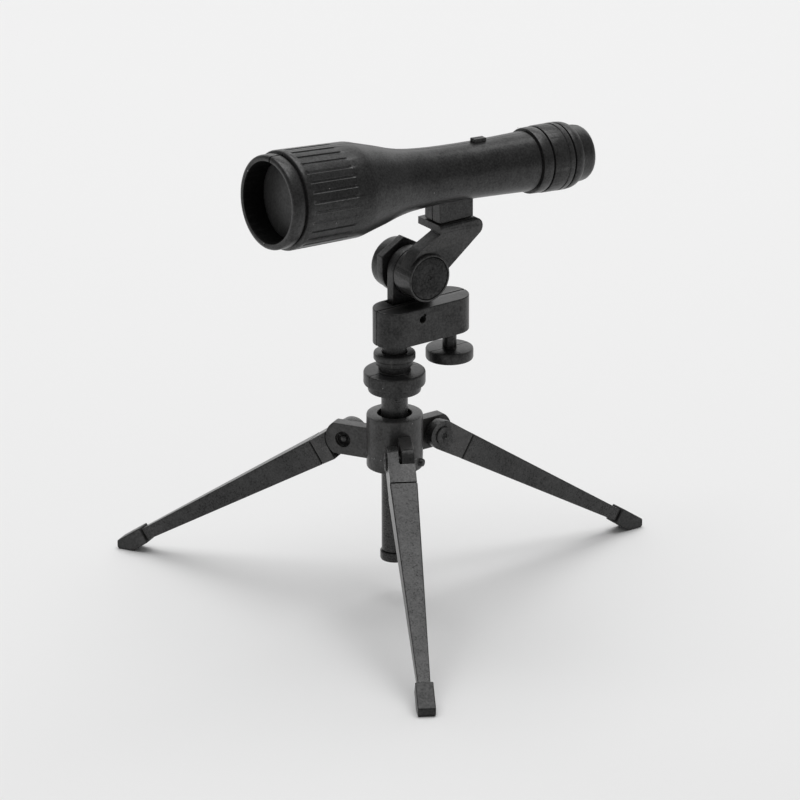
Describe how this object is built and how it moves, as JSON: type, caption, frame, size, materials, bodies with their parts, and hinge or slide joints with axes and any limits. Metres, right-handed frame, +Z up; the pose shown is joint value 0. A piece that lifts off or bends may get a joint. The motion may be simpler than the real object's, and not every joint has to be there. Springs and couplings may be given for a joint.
{
  "type": "miniature telescope on tripod",
  "caption": "Miniature black plastic telescope on a folding tripod with a sliding column, swivel head, tilt bracket and clamping knobs.",
  "frame": {"origin": "centre of the object's own box, on the surface its feet stand on", "axes": "+Z up; the telescope's objective points along -Y and its eyepiece towards +Y; +X is on the left of someone at the eyepiece"},
  "size_m": [0.0874, 0.0756, 0.0802],
  "materials": {
    "body_black": "satin moulded black plastic, fine grain",
    "column_black": "satin moulded black rod",
    "leg_black": "satin moulded black plastic, slightly worn edges",
    "foot_black": "matte black plastic",
    "pin_black": "semi-gloss black snap pins",
    "knob_black": "satin black plastic knobs",
    "tube_black": "satin black plastic shells, fine grain",
    "lens_black": "dark blank disc in place of glass"
  },
  "bodies": {
    "hub": {"hub": "body_black", "column_peg": "pin_black"},
    "rear_leg": {"rear_leg_knuckle": "leg_black", "rear_leg_beam": "leg_black", "rear_leg_foot": "foot_black", "rear_leg_pin": "pin_black"},
    "front_left_leg": {"front_left_leg_knuckle": "leg_black", "front_left_leg_beam": "leg_black", "front_left_leg_foot": "foot_black", "front_left_leg_pin": "pin_black"},
    "front_right_leg": {"front_right_leg_knuckle": "leg_black", "front_right_leg_beam": "leg_black", "front_right_leg_foot": "foot_black", "front_right_leg_pin": "pin_black"},
    "column": {"column": "column_black", "column_end_cap": "column_black", "head_plate": "body_black"},
    "pan_ring": {"pan_ring": "body_black"},
    "head": {"block_left_half": "body_black", "block_right_half": "body_black", "block_pin": "pin_black"},
    "pan_knob": {"pan_knob": "knob_black"},
    "telescope": {"tilt_bracket": "body_black", "tilt_pin": "pin_black", "shoe_dowel": "pin_black", "tube_left_half": "tube_black", "tube_right_half": "tube_black", "objective_disc": "lens_black", "eyepiece_disc": "lens_black"},
    "tilt_nut": {"tilt_nut": "knob_black"}
  },
  "joints": [
    {"name": "rear_leg_fold", "type": "hinge", "parent": "hub", "child": "rear_leg", "pos_m": [0, -0.00358, 0.0263], "axis": [-1, 0, 0], "range_deg": [0, 57]},
    {"name": "front_left_leg_fold", "type": "hinge", "parent": "hub", "child": "front_left_leg", "pos_m": [0.0071, -0.01588, 0.0263], "axis": [0.5, 0.866, 0], "range_deg": [0, 57]},
    {"name": "front_right_leg_fold", "type": "hinge", "parent": "hub", "child": "front_right_leg", "pos_m": [-0.0071, -0.01588, 0.0263], "axis": [0.5, -0.866, 0], "range_deg": [0, 57]},
    {"name": "column_lift", "type": "slide", "parent": "hub", "child": "column", "axis": [0, 0, 1], "range_m": [-0.0037, 0.0143]},
    {"name": "pan_ring_turn", "type": "hinge", "parent": "column", "child": "pan_ring", "pos_m": [0, -0.01178, 0.041], "axis": [0, 0, 1], "range_deg": [-180, 180]},
    {"name": "head_pan", "type": "hinge", "parent": "column", "child": "head", "pos_m": [0, -0.01178, 0.045], "axis": [0, 0, 1], "continuous": true},
    {"name": "pan_knob_turn", "type": "hinge", "parent": "head", "child": "pan_knob", "pos_m": [0, -0.00088, 0.0394], "axis": [0, 0, 1], "range_deg": [-180, 180]},
    {"name": "head_tilt", "type": "hinge", "parent": "head", "child": "telescope", "pos_m": [0, -0.00724, 0.05442], "axis": [1, 0, 0], "range_deg": [-50, 80]},
    {"name": "tilt_nut_turn", "type": "hinge", "parent": "telescope", "child": "tilt_nut", "pos_m": [-0.005, -0.00724, 0.05442], "axis": [1, 0, 0], "range_deg": [-180, 180]}
  ]
}
